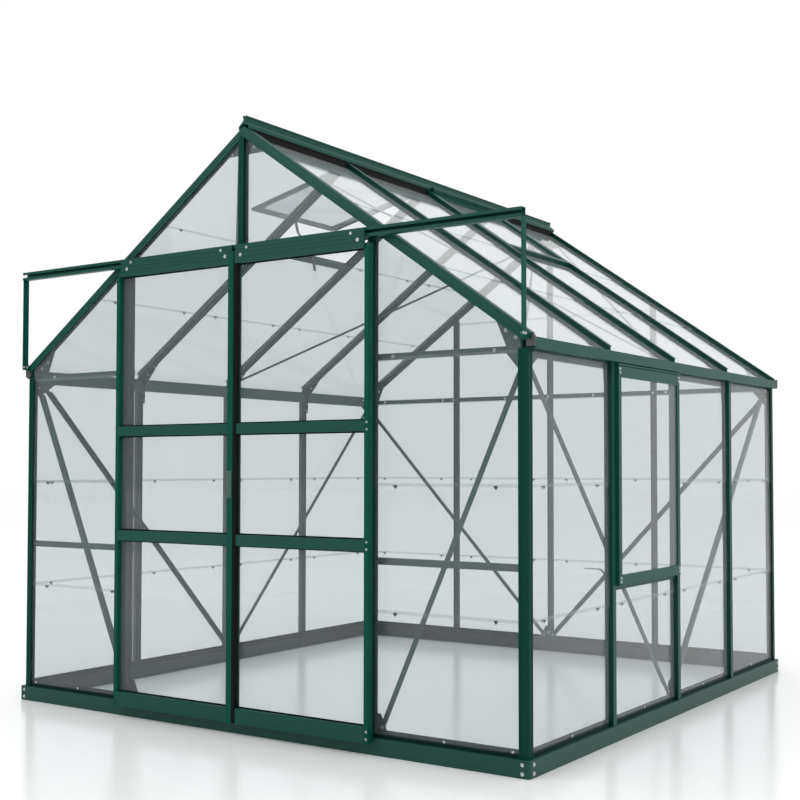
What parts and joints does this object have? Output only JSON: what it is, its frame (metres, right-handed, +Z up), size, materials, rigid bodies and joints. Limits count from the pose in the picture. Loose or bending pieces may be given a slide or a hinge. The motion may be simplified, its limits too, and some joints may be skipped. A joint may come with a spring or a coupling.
{
  "type": "glass greenhouse",
  "caption": "Free-standing glass greenhouse with a dark green aluminium frame, gabled roof, lapped panes, sliding double doors, roof vents and a side window.",
  "frame": {"origin": "centre of the bounding box on the ground", "axes": "+X to the right seen from the doors, +Y to the back, +Z up"},
  "size_m": [2.594, 2.611, 2.4025],
  "materials": {
    "frame_green": "satin powder coat on aluminium extrusion",
    "base_green": "satin powder coat on folded sheet",
    "glass": "clear horticultural glass",
    "cap_grey": "moulded, matt dark grey",
    "stay_alloy": "plain mill finish",
    "roller_nylon": "moulded nylon",
    "handle_grey": "moulded, matt grey"
  },
  "bodies": {
    "house": {"corner_posts": "frame_green", "side_wall_bars": "frame_green", "back_gable_bars": "frame_green", "front_gable_bars": "frame_green", "door_header": "frame_green", "eaves_gutters": "frame_green", "ridge_beam": "frame_green", "gable_rafters": "frame_green", "roof_bars": "frame_green", "gusset_plates": "frame_green", "foot_plates": "frame_green", "gable_ties": "frame_green", "end_wall_diagonals": "frame_green", "side_wall_diagonals": "frame_green", "roof_diagonals": "frame_green", "knee_brackets": "frame_green", "door_track": "frame_green", "door_track_struts": "frame_green", "opening_sills": "frame_green", "wall_sills": "frame_green", "left_vent_frame": "frame_green", "right_vent_frame": "frame_green", "side_window_frame": "frame_green", "base_side_rails": "base_green", "base_end_rails": "base_green", "base_corner_pieces": "base_green", "left_wall_glass": "glass", "right_wall_glass": "glass", "back_gable_glass": "glass", "front_gable_glass": "glass", "left_roof_glass": "glass", "right_roof_glass": "glass", "left_vent_glass": "glass", "right_vent_glass": "glass", "side_window_glass": "glass", "gutter_end_caps": "cap_grey", "casement_stays": "stay_alloy"},
    "left_door": {"left_door_stiles": "frame_green", "left_door_rails": "frame_green", "left_door_glass": "glass", "left_door_rollers": "roller_nylon", "left_door_handle": "handle_grey"},
    "right_door": {"right_door_stiles": "frame_green", "right_door_rails": "frame_green", "right_door_glass": "glass", "right_door_rollers": "roller_nylon"}
  },
  "joints": [
    {"name": "left_door_slide", "type": "slide", "parent": "house", "child": "left_door", "axis": [-1, 0, 0], "range_m": [0, 0.6]},
    {"name": "right_door_slide", "type": "slide", "parent": "house", "child": "right_door", "axis": [1, 0, 0], "range_m": [0, 0.6]}
  ]
}
